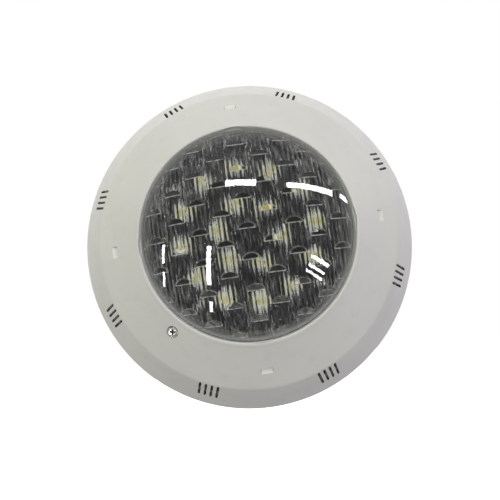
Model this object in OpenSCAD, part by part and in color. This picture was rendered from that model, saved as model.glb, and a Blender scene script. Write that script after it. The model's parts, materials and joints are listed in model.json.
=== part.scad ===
// Surface-mounted underwater pool light. A vented cover ring carries a sealed round LED lamp
// and lifts off a base plate that is screwed to the pool wall.
// Every module is drawn lying on its back: z is the height off the wall, y is up and x is to
// the right as the light is looked at. face_forward() then stands the light up, so that it
// looks along -Y, with the wall plane at y = 0 and the origin in the middle of that plane.

/* [Cover ring] */
// Diameter where the ring meets the wall
ring_d = 290; // [288:1:292]
// Diameter of the opening round the lens
aperture_d = 168; // [167:0.5:168.5]
// Height of the opening's edge off the wall
face_h = 57.5; // [57:0.5:58]
// Diameter at which the gentle face turns down steeply
crease_d = 246; // [244:1:248]
// Height of that turn off the wall
crease_h = 32; // [31.5:0.5:33]
// Wall thickness of the moulding
ring_wall = 2.8; // [2.5:0.1:3]

/* [Water vents] */
// Groups of slots round the ring
vent_groups = 8; // [4:4:8]
// Slots in each group
vents_per_group = 4; // [2:1:5]
// Width of one slot
vent_w = 2.2; // [1.8:0.1:2.4]
// Spacing of the slots in a group
vent_pitch = 5; // [4:0.25:6]
// Length of a slot down the steep side
vent_l = 22; // [16:1:23]

/* [Locating windows] */
// Width of a window round the ring
window_w = 9.6; // [9:0.2:10.4]
// Length of a window across the face
window_l = 4.6; // [4.2:0.2:5]
// Distance of the windows from the axis
window_r = 108; // [107:0.5:109]
// Width of the shallow notches in the opening's edge
notch_w = 15; // [12:1:18]

/* [Captive screw] */
// Distance of the screw from the axis
screw_r = 96; // [95.5:0.5:97]
// Direction of the screw, counter-clockwise from the right as seen from the front
screw_angle = 225; // [220:1:230]
// Nominal thread diameter
screw_d = 4; // [3.5:0.5:4]
// Thread pitch
screw_pitch = 0.7; // [0.5:0.1:0.8]
// Turns that free the cover
screw_turns = 10; // [8:1:10]

/* [Lamp] */
// Flange diameter of the sealed lamp
lamp_d = 178; // [177:0.5:178]
// Height of the top of the lens off the wall
dome_top = 79; // [77:0.5:82]
// Wall thickness of the lens
lens_wall = 3; // [2.6:0.2:3]
// Height of the joint between lens and housing off the wall
joint_z = 44; // [43.8:0.1:44]
// Height of the back of the housing off the wall
housing_back = 12; // [11:0.5:12]

/* [Light sources] */
// LEDs in the outer circle
outer_leds = 12; // [8:1:14]
// LEDs in the inner circle
inner_leds = 6; // [4:1:7]
// Radius of the outer circle
outer_led_r = 54; // [52:1:56]
// Radius of the inner circle
inner_led_r = 25.5; // [25:0.5:28]
// Turn of the LED board in the housing
board_turn = 3; // [0:1:6]

/* [Base plate] */
// Diameter of the plate
base_d = 276; // [274:1:277]
// Thickness of the plate
plate_t = 3; // [2.5:0.5:3]
// Circle of the wall screws
wall_screw_pcd = 236; // [234:1:238]
// Diameter of the wall screw holes
wall_hole_d = 5.5; // [5:0.1:6]

/* [Supply cable] */
// Outside diameter of the cable
cable_d = 7; // [6.4:0.1:7]
// Distance of the wall outlet below the axis
outlet_y = 70; // [70:0.5:72]

/* [Hidden] */
$fn = 64;
over = 1;             // how far a cutter runs past the face it cuts
quarters = [0, 90, 180, 270];

// Ring outline
ring_r = ring_d / 2;
aperture_r = aperture_d / 2;
crease_r = crease_d / 2;
rim_edge = 1;         // upright edge at the foot of the ring
nose_round = 1;
crease_round = 12;
lip_t = 2.5;          // thickness of the wall inside the opening
face_slope = atan((face_h - crease_h) / (crease_r - aperture_r));
side_slope = atan((crease_h - rim_edge) / (ring_r - crease_r));

// Lamp
lens_flange_t = 5;
lip_z = joint_z + lens_flange_t;
lamp_r = lamp_d / 2;
lens_side_r = 82.8;   // outside of the upright part of the lens
lens_inside_r = lens_side_r - lens_wall;
shoulder_h = 22.5;    // rise of the dome above its shoulder
shoulder_round = 4;
dome_r = (pow(lens_side_r, 2) + pow(shoulder_h, 2)) / (2 * shoulder_h);
flange_t = 4;
housing_top_r = 79;
housing_back_r = 76;
housing_wall = 3;
housing_floor = housing_back + housing_wall;
gasket_in_r = 80.6;
gasket_w = 2.4;
gasket_t = 2.2;
case_screws = 8;
case_screw_r = 86;
m3_r = 1.5;
m3_hole_r = 1.6;
m3_head_r = 2.75;
m3_head_t = 2.2;

// Stack of board, pad and spreader
board_t = 1.6;
pad_t = 0.4;
spreader_t = 3;
board_z = joint_z - 4;
board_top = board_z + board_t;
pad_z = board_z - pad_t;
spreader_z = pad_z - spreader_t;
board_r = 75;
board_screw_r = 68;
wire_exit_y = 32;
package_r = 4.5;
package_t = 3;
chip_r = 2.1;
chip_t = 0.3;
led_dome_r = 2.8;
cup_t = 1;            // depth of the cup that holds the chip

// Clips that hold the lamp in the ring
clip_r = 97;
clip_t = 1.2;
clip_w = 10;
clip_angles = [22.5, 112.5, 202.5, 292.5];
clip_z = joint_z - flange_t;

// Captive screw
screw_shank_r = screw_d / 2;
running_gap = 0.06;
screw_head_r = 4.15;
screw_head_t = 3;
seat_z = 45.4;        // floor of the recess under the head
screw_tip_z = seat_z - 30;
boss_foot_z = 36;
boss_r = 6.4;
recess_r = 5;
screw_travel = screw_turns * screw_pitch;
washer_r = 4;
washer_t = 1.6;
washer_z = boss_foot_z - 0.1 - screw_travel - washer_t;
insert_r = 3.2;
insert_l = 8;
pillar_top = screw_tip_z + 6.8;

// Base plate
base_r = base_d / 2;
rim_r = 134;          // outside of the upright rim on the plate
wall_boss_t = 3;
post_gap = 0.15;      // gap all round between a locating post and its window
post_sink = 0.3;      // how far the outer edge of a post's top stops below the face
grommet_r = 7;
grommet_lip_r = 9.5;

// Gland, which lies in a channel in the back of the housing and points down
gland_z = 22.5;
channel_w = 27;
channel_top = 34.2;
channel_skin = 2;
channel_end = 20;     // distance of the channel's end wall below the axis
end_wall_t = 4;
cable_r = cable_d / 2;
cable_bend_r = 18;
gland_thread_r = 7.4; // clears the inside of the housing's back
gland_hex_r = 11;
gland_hex_t = 5;
o_ring_t = 1.5;
gland_neck_r = 7.5;
gland_neck_l = 9.5;
seal_r = 5;
gland_face = channel_end + o_ring_t + gland_hex_t;
gland_end = gland_face + gland_neck_l;
nut_wall_r = 7.6;
nut_start = gland_face + 1;
slip_t = 1;
slip_start = gland_end + 1;
nut_end = slip_start + slip_t + 8;

// Driver
driver_z = 18;
driver_t = 1.6;
driver_top = driver_z + driver_t;
driver_w = 60;
driver_h = 44;
driver_y = 15;        // middle of the driver board, above the axis
driver_hole_x = 26;
driver_hole_y = 18;

// ---------- helpers ----------

module face_forward() {
    rotate([90, 0, 0]) children();
}

// Places children at radius r and angle a round the axis
module polar(r, a) {
    rotate([0, 0, a]) translate([r, 0, 0]) children();
}

// A ring of rectangular section
module band(r_in, r_out, z, t) {
    translate([0, 0, z]) difference() {
        cylinder(r = r_out, h = t);
        translate([0, 0, -over]) cylinder(r = r_in, h = t + 2 * over);
    }
}

// A cylinder along -Y, from one distance below the axis to another, at the gland's height
module gland_rod(r, y_from, y_to, sides = 64) {
    translate([0, -y_from, gland_z]) rotate([90, 0, 0]) cylinder(r = r, h = y_to - y_from, $fn = sides);
}

// A pan-head screw with its head's seat at z = 0, the head above and the shank below
module pan_screw(shank_r, shank_l, head_r, head_t, cross_l) {
    edge = head_t * 0.45;
    difference() {
        union() {
            translate([0, 0, -shank_l]) cylinder(r = shank_r, h = shank_l + edge);
            cylinder(r = head_r, h = edge);
            translate([0, 0, edge]) cylinder(r1 = head_r, r2 = head_r * 0.72, h = head_t - edge);
        }
        for (a = [0, 90]) rotate([0, 0, a])
            translate([-cross_l / 2, -cross_l / 10, head_t * 0.35]) cube([cross_l, cross_l / 5, head_t]);
    }
}

function turned(v, a) = [v.x * cos(a) - v.y * sin(a), v.x * sin(a) + v.y * cos(a)];

// Points of the arc of radius r that rounds the corner b between a and c
function rounded(a, b, c, r, steps = 6) =
    let(u = (a - b) / norm(a - b),
        w = (c - b) / norm(c - b),
        half = acos(u * w) / 2,
        centre = b + (u + w) / norm(u + w) * r / sin(half),
        start = b + u * r / tan(half) - centre,
        sweep = sign(cross(b - a, c - b)) * (180 - 2 * half))
    [for (i = [0 : steps]) centre + turned(start, sweep * i / steps)];

// Points of a dome from radius edge up to the axis
function dome_arc(r, top, edge, steps = 20) =
    [for (i = [0 : steps]) let(a = asin(edge / r) * (1 - i / steps)) [r * sin(a), top - r + r * cos(a)]];

function face_height(r) = face_h - (r - aperture_r) * tan(face_slope);

// ---------- cover ring ----------

ring_edge_point = [aperture_r, face_h];
ring_crease_point = [crease_r, crease_h];
ring_foot_point = [ring_r, rim_edge];

ring_outside = concat(
    rounded([aperture_r, lip_z], ring_edge_point, ring_crease_point, nose_round),
    rounded(ring_edge_point, ring_crease_point, ring_foot_point, crease_round, 8),
    [ring_foot_point, [ring_r, 0]]
);

// The inside of the moulding runs parallel to its outside, ring_wall below it
function ring_inside() =
    let(n_face = [-sin(face_slope), -cos(face_slope)],
        n_side = [-sin(side_slope), -cos(side_slope)],
        crease = ring_crease_point + (n_face + n_side) * ring_wall / (1 + n_face * n_side),
        foot = [ring_r - ring_wall / sin(side_slope), 0],
        lip_r = aperture_r + lip_t,
        lip_top = [lip_r, face_height(lip_r) - ring_wall / cos(face_slope)])
    concat([foot], rounded(foot, crease, lip_top, crease_round - ring_wall, 8),
        [lip_top, [lip_r, lip_z], [aperture_r, lip_z]]);

module ring_shell() {
    rotate_extrude() polygon(concat(ring_outside, ring_inside()));
}

// Everything under the ring's outer face, which trims bosses and ribs to that face
module under_face(sink = 0) {
    translate([0, 0, -sink])
        rotate_extrude() polygon(concat([[aperture_r, 0]], ring_outside));
}

// One slot through the steep side, cut straight down towards the wall
module vent() {
    mid_r = (crease_r + ring_r) / 2 - 4.4;
    reach = vent_l * cos(side_slope) - vent_w;
    translate([mid_r, 0, 2]) linear_extrude(height = crease_h) {
        square([reach, vent_w], center = true);
        for (end = [-1, 1]) translate([end * reach / 2, 0]) circle(d = vent_w);
    }
}

module vents() {
    for (g = [0 : vent_groups - 1]) rotate([0, 0, 22.5 + g * 360 / vent_groups])
        for (i = [0 : vents_per_group - 1]) translate([0, (i - (vents_per_group - 1) / 2) * vent_pitch, 0])
            vent();
}

module windows() {
    for (a = quarters) polar(window_r, a)
        translate([0, 0, crease_h + over]) linear_extrude(height = 20)
            square([window_l, window_w], center = true);
}

module edge_notches() {
    notch_depth = 0.9;
    for (a = quarters) polar(aperture_r, a)
        translate([notch_depth - over, -notch_w / 2, lip_z + over])
            cube([2 * over, notch_w, face_h]);
}

module ring_bosses() {
    rib_from = 114;
    rib_foot = 12;
    rib_t = 1.6;
    polar(screw_r, screw_angle) translate([0, 0, boss_foot_z]) cylinder(r = boss_r, h = 30);
    for (a = clip_angles) polar(clip_r, a) translate([0, 0, clip_z]) cylinder(r = 4, h = 20);
    for (a = [0 : 45 : 315]) rotate([0, 0, a])
        translate([rib_from, -rib_t / 2, rib_foot]) cube([ring_r - rib_from, rib_t, face_h]);
}

module ring_cuts() {
    vents();
    windows();
    edge_notches();
    polar(screw_r, screw_angle) {
        translate([0, 0, seat_z]) cylinder(r = recess_r, h = 20);
        translate([0, 0, boss_foot_z - over]) cylinder(r = screw_shank_r + running_gap, h = 20);
    }
    for (a = clip_angles) polar(clip_r, a)
        translate([0, 0, clip_z - over]) cylinder(r = m3_r, h = over + 4.4);
}

module cover_ring() {
    color("whitesmoke") face_forward() difference() {
        union() {
            ring_shell();
            intersection() {
                under_face(0.4);
                ring_bosses();
            }
        }
        ring_cuts();
    }
}

// ---------- captive screw ----------

module captive_screw() {
    color("silver") face_forward() polar(screw_r, screw_angle)
        translate([0, 0, seat_z]) pan_screw(screw_shank_r, seat_z - screw_tip_z, screw_head_r, screw_head_t, 5.4);
}

module screw_retainer() {
    color("ivory") face_forward() polar(screw_r, screw_angle)
        band(screw_shank_r + running_gap, washer_r, washer_z, washer_t);
}

module screw_insert() {
    color("goldenrod") face_forward() polar(screw_r, screw_angle)
        band(screw_shank_r + running_gap, insert_r, pillar_top - insert_l, insert_l);
}

// ---------- clips ----------

// A flat spring-steel strap under the lamp's flange, with its free end turned down
module retaining_clips() {
    reach = 85.6;
    tail = 102;
    color("lightgray") face_forward() for (a = clip_angles) rotate([0, 0, a]) difference() {
        union() {
            translate([reach, -clip_w / 2, clip_z - clip_t]) cube([tail - reach, clip_w, clip_t]);
            translate([reach, -clip_w / 2, clip_z - 4]) cube([clip_t, clip_w, 4]);
        }
        translate([clip_r, 0, clip_z - 2 * clip_t]) cylinder(r = m3_hole_r, h = 4 * clip_t);
    }
}

module clip_screws() {
    color("silver") face_forward() for (a = clip_angles) polar(clip_r, a)
        translate([0, 0, clip_z - clip_t]) mirror([0, 0, 1]) pan_screw(m3_r, clip_t + 4.2, m3_head_r, m3_head_t, 3.4);
}

// ---------- sealed lamp ----------

module lens() {
    shoulder = [lens_side_r, dome_top - shoulder_h];
    outer_dome = dome_arc(dome_r, dome_top, lens_side_r);
    inner_dome = dome_arc(dome_r - lens_wall, dome_top - lens_wall, lens_inside_r);
    outside = concat(
        [[lamp_r, lip_z], [lens_side_r, lip_z]],
        rounded([lens_side_r, lip_z], shoulder, outer_dome[1], shoulder_round),
        [for (i = [2 : len(outer_dome) - 1]) outer_dome[i]]
    );
    inside = [for (i = [len(inner_dome) - 1 : -1 : 0]) inner_dome[i]];
    color("lightcyan", 0.4) face_forward() difference() {
        rotate_extrude() polygon(concat([[lens_inside_r, joint_z], [lamp_r, joint_z]], outside, inside));
        case_screw_holes(m3_r, joint_z - over, over + 3.7);
    }
}

module case_screw_holes(r, z, t) {
    for (i = [0 : case_screws - 1]) polar(case_screw_r, i * 360 / case_screws)
        translate([0, 0, z]) cylinder(r = r, h = t);
}

module housing_screws() {
    color("silver") face_forward() for (i = [0 : case_screws - 1]) polar(case_screw_r, i * 360 / case_screws)
        translate([0, 0, joint_z - flange_t]) mirror([0, 0, 1])
            pan_screw(m3_r, flange_t + 3.5, m3_head_r, m3_head_t, 3.4);
}

module lens_gasket() {
    color("dimgray") face_forward()
        band(gasket_in_r, gasket_in_r + gasket_w, joint_z - gasket_t, gasket_t);
}

module housing_shell() {
    difference() {
        union() {
            translate([0, 0, housing_back])
                cylinder(r1 = housing_back_r, r2 = housing_top_r, h = joint_z - housing_back);
            translate([0, 0, joint_z - flange_t]) cylinder(r = lamp_r, h = flange_t);
        }
        translate([0, 0, housing_floor])
            cylinder(r1 = housing_back_r - housing_wall, r2 = housing_top_r - housing_wall,
                h = joint_z - housing_floor + 0.001);
        band(gasket_in_r, gasket_in_r + gasket_w, joint_z - gasket_t, gasket_t + over);
        case_screw_holes(m3_hole_r, joint_z - flange_t - over, flange_t + 2 * over);
    }
}

// The block inside the housing that the gland's channel is sunk into
module channel_block() {
    block_w = channel_w + 2 * channel_skin;
    intersection() {
        translate([-block_w / 2, -housing_top_r, housing_back])
            cube([block_w, housing_top_r - channel_end + end_wall_t, channel_top + channel_skin - housing_back]);
        translate([0, 0, housing_back]) cylinder(r = housing_back_r - 0.5, h = 30);
    }
}

module channel() {
    translate([-channel_w / 2, -housing_top_r - 2 * over, housing_back - over])
        cube([channel_w, housing_top_r + 2 * over - channel_end, channel_top - housing_back + over]);
}

module board_screw_places() {
    for (a = [45, 135, 225, 315]) polar(board_screw_r, a + board_turn) children();
}

module driver_screw_places() {
    for (x = [-driver_hole_x, driver_hole_x], y = [-driver_hole_y, driver_hole_y])
        translate([x, driver_y + y, 0]) children();
}

module lamp_housing() {
    color([0.16, 0.17, 0.18]) face_forward() difference() {
        union() {
            housing_shell();
            channel_block();
            board_screw_places() translate([0, 0, housing_floor - over])
                cylinder(r = 4, h = spreader_z - housing_floor + over);
            driver_screw_places() translate([0, 0, housing_floor - over])
                cylinder(r = 3.5, h = driver_z - housing_floor + over);
        }
        channel();
        gland_rod(gland_thread_r, channel_end - end_wall_t - over, channel_end + over);
        board_screw_places() translate([0, 0, spreader_z - 7]) cylinder(r = m3_r, h = 7 + over);
        driver_screw_places() translate([0, 0, driver_z - 4]) cylinder(r = 1.2, h = 4 + over);
    }
}

// ---------- LED board ----------

// Places children in a circle on the board, all the same way up
module led_circle(r, count, start) {
    for (i = [0 : count - 1]) let(a = start + i * 360 / count)
        translate([r * cos(a), r * sin(a), board_top]) children();
}

module led_places() {
    led_circle(outer_led_r, outer_leds, board_turn) children();
    led_circle(inner_led_r, inner_leds, board_turn + 45) children();
}

// A round sheet with the holes that the board, the pad and the spreader share
module lamp_sheet(r, z, t, wire_hole) {
    difference() {
        translate([0, 0, z]) cylinder(r = r, h = t);
        board_screw_places() translate([0, 0, z - over]) cylinder(r = m3_hole_r, h = t + 2 * over);
        if (wire_hole) translate([0, wire_exit_y, z - over]) cylinder(r = 3.4, h = t + 2 * over);
    }
}

module led_board() {
    color([0.07, 0.07, 0.07]) face_forward() lamp_sheet(board_r, board_z, board_t, false);
}

module thermal_pad() {
    color("lightsteelblue") face_forward() lamp_sheet(board_r - 1, pad_z, pad_t, true);
}

module heat_spreader() {
    color("silver") face_forward() lamp_sheet(board_r - 1.5, spreader_z, spreader_t, true);
}

module board_screws() {
    color("silver") face_forward() board_screw_places()
        translate([0, 0, board_top]) pan_screw(m3_r, board_top - spreader_z + 6, m3_head_r, m3_head_t, 3.4);
}

module led_packages() {
    color("white") face_forward() led_places() difference() {
        cylinder(r = package_r, h = package_t);
        translate([0, 0, package_t - cup_t]) cylinder(r = led_dome_r, h = cup_t + over);
    }
}

// A flat lead above and below each package, lying on the board
module led_leads() {
    lead_l = 3.6;
    lead_w = 3.2;
    lead_t = 0.5;
    color("gainsboro") face_forward() led_places()
        for (side = [90, 270]) rotate([0, 0, side])
            translate([package_r + 0.05, -lead_w / 2, 0]) cube([lead_l, lead_w, lead_t]);
}

module led_chips() {
    color("gold") face_forward() led_places()
        translate([0, 0, package_t - cup_t]) cylinder(r = chip_r, h = chip_t);
}

module led_domes() {
    color("lightyellow", 0.5) face_forward() led_places()
        translate([0, 0, package_t - cup_t + chip_t]) {
            cylinder(r = led_dome_r, h = cup_t - chip_t);
            translate([0, 0, cup_t - chip_t]) intersection() {
                sphere(r = led_dome_r, $fn = 32);
                cylinder(r = led_dome_r + over, h = led_dome_r + over);
            }
        }
}

// ---------- driver ----------

module driver_board() {
    color("darkgreen") face_forward() difference() {
        translate([-driver_w / 2, driver_y - driver_h / 2, driver_z]) cube([driver_w, driver_h, driver_t]);
        driver_screw_places() translate([0, 0, driver_z - over]) cylinder(r = 1.4, h = driver_t + 2 * over);
    }
}

module driver_screws() {
    color("silver") face_forward() driver_screw_places()
        translate([0, 0, driver_top]) pan_screw(1.2, driver_t + 3.5, 2.2, 1.6, 2.6);
}

module driver_capacitors() {
    can_r = 5;
    can_h = 13;
    color("midnightblue") face_forward() for (x = [-17, 17])
        translate([x, driver_y + 6, driver_top]) {
            cylinder(r = can_r, h = can_h - 0.6);
            translate([0, 0, can_h - 0.6]) cylinder(r1 = can_r, r2 = can_r - 0.6, h = 0.6);
        }
}

// A toroid choke lying on the board
module driver_inductor() {
    color("peru") face_forward() translate([0, driver_y + 2, driver_top + 3.5])
        rotate_extrude() translate([5, 0]) circle(r = 2.5, $fn = 32);
}

module bridge_rectifier() {
    color([0.12, 0.12, 0.12]) face_forward()
        translate([10, driver_y - 14, driver_top]) cube([12, 4, 9]);
}

module terminal_block() {
    color("limegreen") face_forward() difference() {
        translate([-6, -3, driver_top]) cube([12, 9, 10]);
        for (x = [-2.5, 2.5]) {
            translate([x, 1.5, driver_top + 5]) cylinder(r = 1.7, h = 6);
        }
    }
}

// The two wires that feed the LED board from the driver
module board_wires() {
    color("crimson") face_forward() for (x = [-1.6, 1.6])
        translate([x, wire_exit_y, driver_top]) cylinder(r = 0.9, h = board_z - driver_top);
}

// ---------- supply cable and gland ----------

sheath_start = 12;
bend_y = outlet_y - cable_bend_r;

module power_cable() {
    color([0.1, 0.1, 0.11]) face_forward() {
        gland_rod(cable_r, sheath_start, bend_y);
        translate([0, -bend_y, gland_z - cable_bend_r]) rotate([0, -90, 0]) rotate([0, 0, -90])
            rotate_extrude(angle = 90) translate([cable_bend_r, 0]) circle(r = cable_r, $fn = 48);
        translate([0, -outlet_y, 0.5]) cylinder(r = cable_r, h = gland_z - cable_bend_r - 0.5);
    }
}

module supply_wires() {
    color("saddlebrown") face_forward() for (x = [-1.7, 1.7])
        translate([x, 0, 0]) gland_rod(1.1, 3, sheath_start);
}

module gland_body() {
    color([0.2, 0.2, 0.21]) face_forward() difference() {
        union() {
            gland_rod(gland_thread_r, channel_end - end_wall_t - 3, channel_end + o_ring_t);
            gland_rod(gland_hex_r, channel_end + o_ring_t, gland_face, 6);
            gland_rod(gland_neck_r, gland_face, gland_end);
        }
        gland_rod(cable_r + 0.3, channel_end - end_wall_t - 4, gland_end + over);
        gland_rod(seal_r, gland_face, gland_end + over);
    }
}

module gland_o_ring() {
    color([0.05, 0.05, 0.05]) face_forward() difference() {
        gland_rod(gland_thread_r + 2, channel_end, channel_end + o_ring_t);
        gland_rod(gland_thread_r, channel_end - over, channel_end + o_ring_t + over);
    }
}

module gland_seal() {
    color([0.3, 0.1, 0.08]) face_forward() difference() {
        gland_rod(seal_r, gland_face, gland_end);
        gland_rod(cable_r, gland_face - over, gland_end + over);
    }
}

module gland_slip_ring() {
    color("ivory") face_forward() difference() {
        gland_rod(gland_neck_r, slip_start, slip_start + slip_t);
        gland_rod(cable_r + running_gap, slip_start - over, slip_start + slip_t + over);
    }
}

module gland_nut() {
    dome_l = 4;
    color([0.2, 0.2, 0.21]) face_forward() difference() {
        union() {
            gland_rod(gland_hex_r, nut_start, nut_end - dome_l, 6);
            translate([0, dome_l - nut_end, gland_z]) rotate([90, 0, 0])
                cylinder(r1 = gland_hex_r * cos(30), r2 = 6, h = dome_l);
        }
        gland_rod(nut_wall_r, nut_start - over, slip_start + slip_t);
        gland_rod(cable_r + running_gap, nut_start, nut_end + over);
    }
}

module cable_grommet() {
    lip_t = 1.6;
    color([0.08, 0.08, 0.08]) face_forward() translate([0, -outlet_y, 0]) difference() {
        union() {
            translate([0, 0, 0.3]) cylinder(r = grommet_r, h = plate_t - 0.3);
            translate([0, 0, plate_t]) cylinder(r = grommet_lip_r, h = lip_t);
        }
        cylinder(r = cable_r + running_gap, h = plate_t + lip_t + over);
    }
}

// ---------- base plate ----------

// A post that stands in one of the ring's windows and centres the cover. Its flat top almost meets
// the face at the window's outer edge.
module locating_post() {
    gusset = [[96, plate_t], [window_r, plate_t], [window_r, 25]];
    post_top = face_height(window_r + window_l / 2 - post_gap) - post_sink;
    translate([window_r - window_l / 2 + post_gap, -window_w / 2 + post_gap, plate_t - over])
        cube([window_l - 2 * post_gap, window_w - 2 * post_gap, post_top - plate_t + over]);
    translate([0, 1.2, 0]) rotate([90, 0, 0]) linear_extrude(height = 2.4) polygon(gusset);
}

module base_ribs() {
    rib_h = 4;
    band(48, 50, plate_t - over, rib_h + over);
    band(rim_r - 2.5, rim_r, plate_t - over, rib_h + 1 + over);
    for (a = [0 : 45 : 315]) rotate([0, 0, 22.5 + a])
        translate([49, -1, plate_t - over]) cube([rim_r - 50, 2, rib_h + over]);
}

module wall_screw_places() {
    for (a = [45, 135, 225, 315]) polar(wall_screw_pcd / 2, a) children();
}

module wall_base() {
    color("gainsboro") face_forward() difference() {
        union() {
            cylinder(r = base_r, h = plate_t);
            base_ribs();
            for (a = quarters) rotate([0, 0, a]) locating_post();
            wall_screw_places() cylinder(r = 7, h = plate_t + wall_boss_t);
            polar(screw_r, screw_angle) cylinder(r = 5.5, h = pillar_top);
        }
        wall_screw_places() translate([0, 0, -over])
            cylinder(d = wall_hole_d, h = plate_t + wall_boss_t + 2 * over);
        translate([0, -outlet_y, -over]) cylinder(r = grommet_r, h = plate_t + 2 * over);
        polar(screw_r, screw_angle) {
            translate([0, 0, pillar_top - insert_l]) cylinder(r = insert_r, h = insert_l + over);
            translate([0, 0, plate_t + 2]) cylinder(r = screw_shank_r + 0.6, h = pillar_top);
        }
    }
}

wall_base();
screw_insert();
cable_grommet();
cover_ring();
captive_screw();
screw_retainer();
retaining_clips();
clip_screws();
lens();
lens_gasket();
lamp_housing();
housing_screws();
led_board();
led_packages();
led_leads();
led_chips();
led_domes();
board_screws();
thermal_pad();
heat_spreader();
driver_board();
driver_screws();
driver_capacitors();
driver_inductor();
bridge_rectifier();
terminal_block();
board_wires();
supply_wires();
power_cable();
gland_body();
gland_o_ring();
gland_seal();
gland_slip_ring();
gland_nut();
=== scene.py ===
"""Looks of the surface-mounted pool light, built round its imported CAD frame.

Metres throughout. The light looks along -Y, its axis is the Y axis and the wall plane is y = 0.
A place on the light is given as a radius r from the axis and a height h off the wall.
"""
import json
import math

import bmesh
import bpy
import numpy as np
from mathutils import Matrix, Vector


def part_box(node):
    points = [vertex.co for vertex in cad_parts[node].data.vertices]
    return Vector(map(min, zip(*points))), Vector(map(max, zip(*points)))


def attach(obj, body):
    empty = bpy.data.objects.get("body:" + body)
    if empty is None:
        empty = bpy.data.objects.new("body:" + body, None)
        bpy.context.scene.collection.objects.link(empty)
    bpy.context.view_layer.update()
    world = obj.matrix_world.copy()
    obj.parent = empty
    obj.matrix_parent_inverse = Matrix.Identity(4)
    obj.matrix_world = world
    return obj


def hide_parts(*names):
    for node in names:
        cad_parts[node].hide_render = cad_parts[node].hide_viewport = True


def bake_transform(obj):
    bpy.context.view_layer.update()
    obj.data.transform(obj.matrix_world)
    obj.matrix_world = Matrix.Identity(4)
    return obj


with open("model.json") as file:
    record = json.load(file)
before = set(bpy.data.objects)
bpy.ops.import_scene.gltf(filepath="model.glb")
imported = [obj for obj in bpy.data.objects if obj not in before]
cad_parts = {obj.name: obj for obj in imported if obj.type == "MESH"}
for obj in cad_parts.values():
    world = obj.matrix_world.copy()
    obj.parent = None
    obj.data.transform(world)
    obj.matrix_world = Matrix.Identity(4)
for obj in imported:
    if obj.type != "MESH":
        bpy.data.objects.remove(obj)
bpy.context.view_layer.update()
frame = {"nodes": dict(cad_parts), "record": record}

MM = 0.001
# Takes right, up and out, as seen from the front, to X, Y and Z
FRONT = Matrix(((1, 0, 0), (0, 0, -1), (0, 1, 0)))

# ---------- sizes, from the frame ----------

ring_low, ring_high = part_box("cover_ring")
lens_low, lens_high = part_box("lens")
screw_low, screw_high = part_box("captive_screw")
cable_low, cable_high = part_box("power_cable")

RING_R = ring_high.x
BASE_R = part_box("wall_base")[1].x
LAMP_R = lens_high.x
DOME_TOP = -lens_low.y
JOINT_H = -lens_high.y

# The ring's section, as the CAD ring has it
APERTURE_R = 84.0 * MM
FACE_H = 57.5 * MM
CREASE_R = 123.0 * MM
CREASE_H = 32.0 * MM
RING_WALL = 2.8 * MM
LIP_T = 2.5 * MM
LIP_H = JOINT_H + 5.0 * MM
RIM_EDGE = 1.0 * MM
# Posts and ribs end this far below the outer face, inside the wall
WITHIN_WALL = 1.6 * MM

# Vents, windows and notches
VENT_GROUPS = 8
VENTS_PER_GROUP = 4
VENT_W = 2.2 * MM
VENT_PITCH = 5.0 * MM
VENT_L = 22.0 * MM
VENT_R = (CREASE_R + RING_R) / 2 - 4.4 * MM
WINDOW_R = 108.0 * MM
WINDOW_W = 9.6 * MM
WINDOW_L = 4.6 * MM
NOTCH_W = 15.0 * MM
NOTCH_DEPTH = 0.9 * MM

# Captive screw
SCREW_X = (screw_low.x + screw_high.x) / 2
SCREW_Z = (screw_low.z + screw_high.z) / 2
SCREW_R = math.hypot(SCREW_X, SCREW_Z)
SCREW_ANGLE = math.atan2(SCREW_Z, SCREW_X)
SCREW_TIP = -screw_high.y
SEAT_H = SCREW_TIP + 30.0 * MM
SHANK_R = 2.0 * MM
THREAD_PITCH = 0.7 * MM
HEAD_R = 4.15 * MM
RECESS_R = 4.8 * MM
# Each bar of the cross, from the bottom up: its level from the head's top, its length and its width
CROSS_LEVELS = [
    (-2.1 * MM, 1.2 * MM, 0.7 * MM),
    (-0.7 * MM, 4.0 * MM, 1.3 * MM),
    (1.0 * MM, 5.0 * MM, 1.6 * MM),
]
CROSS_TURN = -0.14
BOSS_FOOT = 36.0 * MM
BOSS_R = 6.4 * MM
CLIP_R = 97.0 * MM
CLIP_POST_R = 4.0 * MM
CLIP_H = JOINT_H - 4.0 * MM

# Lens
LENS_SIDE_R = 82.8 * MM
LENS_WALL = 3.0 * MM
DOME_RISE = 22.5 * MM
SHOULDER_ROUND = 4.0 * MM
BRICK_W = 17.3 * MM
BRICK_H = 22.4 * MM
MOON_W = 12.8 * MM
MOON_H = 4.6 * MM


# ---------- mesh helpers ----------

def on_light(r, angle, h):
    """The point at radius r and angle from +X towards +Z, at height h off the wall."""
    return Vector((r * math.cos(angle), -h, r * math.sin(angle)))


def turned(v, angle):
    c, s = math.cos(angle), math.sin(angle)
    return Vector((v.x * c - v.y * s, v.x * s + v.y * c))


def rounded(a, b, c, radius, steps=6):
    """Points of the arc of that radius which rounds corner b between a and c, in the (r, h) plane."""
    a, b, c = Vector(a), Vector(b), Vector(c)
    u, w = (a - b).normalized(), (c - b).normalized()
    half = math.acos(max(-1.0, min(1.0, u.dot(w)))) / 2
    centre = b + (u + w).normalized() * radius / math.sin(half)
    start = b + u * radius / math.tan(half) - centre
    cross = (b - a).x * (c - b).y - (b - a).y * (c - b).x
    sweep = math.copysign(math.pi - 2 * half, cross)
    return [centre + turned(start, sweep * i / steps) for i in range(steps + 1)]


def link(name, data):
    piece = bpy.data.objects.new(name, data)
    bpy.context.scene.collection.objects.link(piece)
    return piece


def face_outwards(bm):
    bmesh.ops.recalc_face_normals(bm, faces=bm.faces)


def from_bmesh(name, bm):
    face_outwards(bm)
    mesh = bpy.data.meshes.new(name)
    bm.to_mesh(mesh)
    bm.free()
    return link(name, mesh)


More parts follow.
